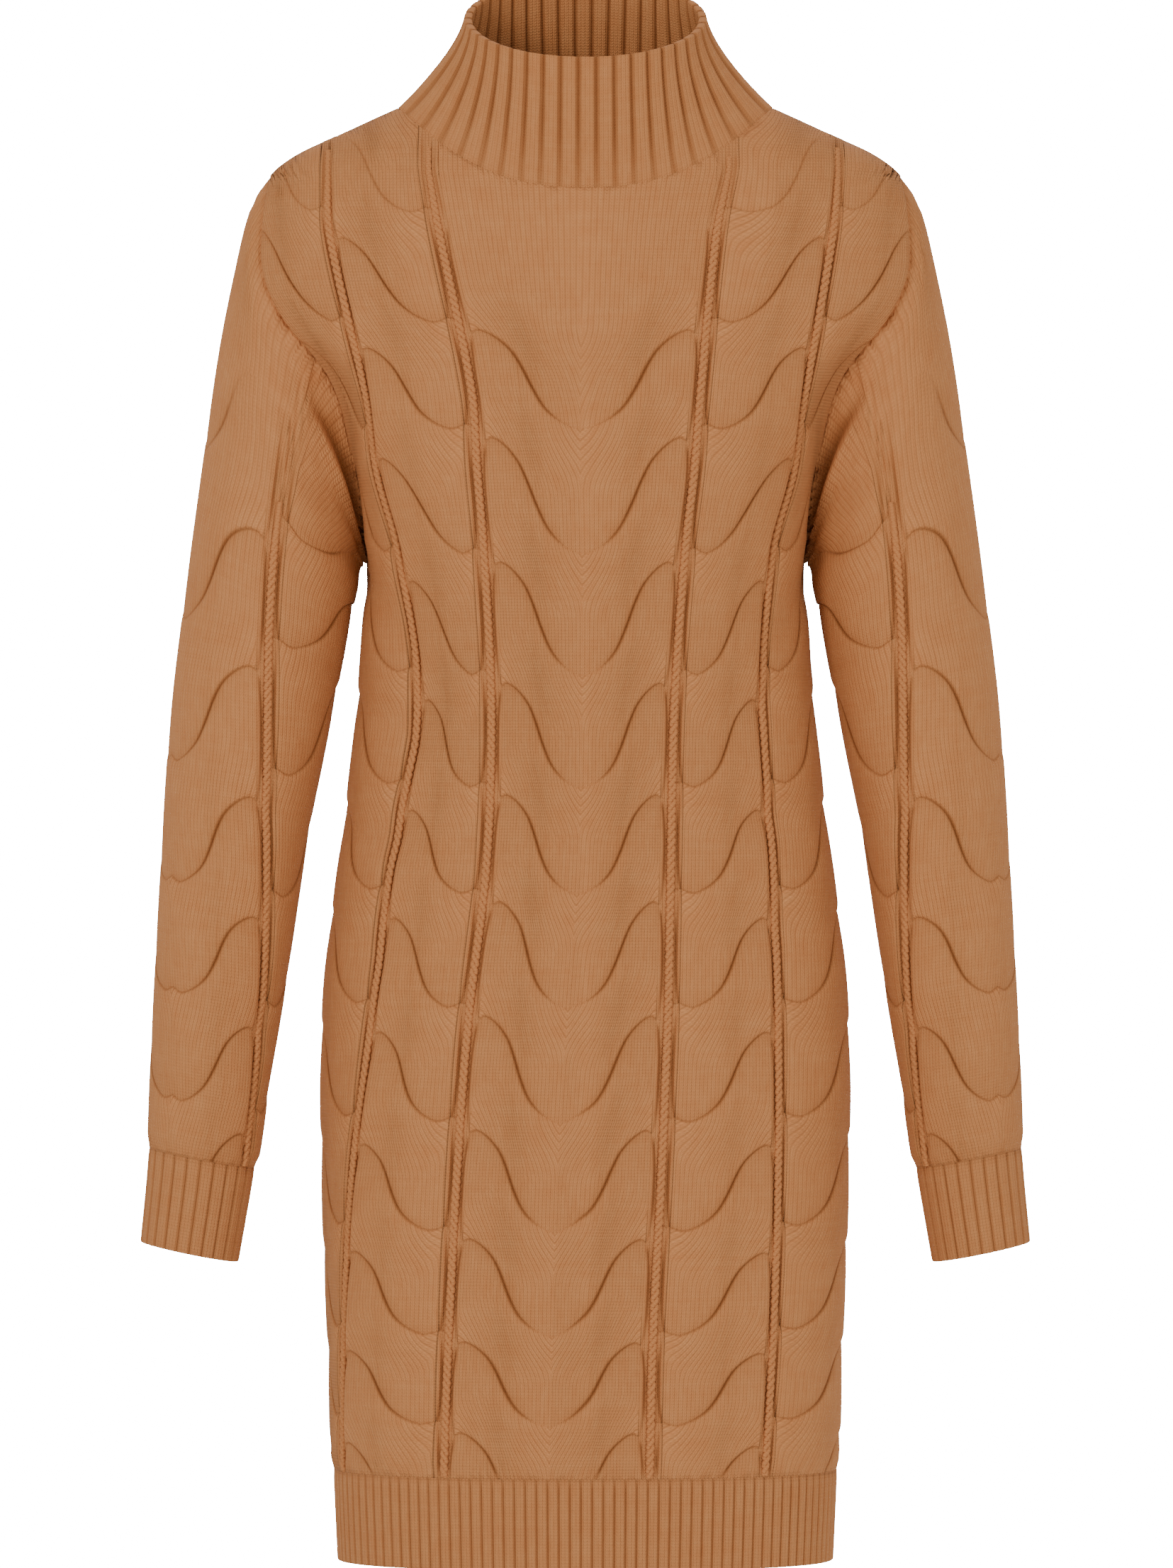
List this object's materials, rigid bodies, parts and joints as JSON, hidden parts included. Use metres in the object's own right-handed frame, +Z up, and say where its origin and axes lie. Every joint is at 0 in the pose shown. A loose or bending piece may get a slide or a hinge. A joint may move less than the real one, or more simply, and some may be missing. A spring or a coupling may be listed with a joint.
{
  "type": "sweater dress",
  "caption": "Long-sleeved cable-knit sweater dress with a ribbed funnel collar, hem and cuffs, filled out as worn.",
  "frame": {"origin": "middle of the neck, level with the points where the neckline meets the shoulder seams", "axes": "+Z up, the front faces -Y, and +X is the right-hand side of the picture"},
  "size_m": [0.5494, 0.2318, 0.9822],
  "materials": {
    "cable_knit": "matt wool-blend knit",
    "rib_knit": "matt wool-blend rib"
  },
  "bodies": {
    "root": {"front_panel": "cable_knit", "back_panel": "cable_knit", "hem_rib_front": "rib_knit", "hem_rib_back": "rib_knit", "collar": "rib_knit", "sleeve_right": "cable_knit", "sleeve_left": "cable_knit", "cuff_right": "rib_knit", "cuff_left": "rib_knit"}
  },
  "joints": []
}
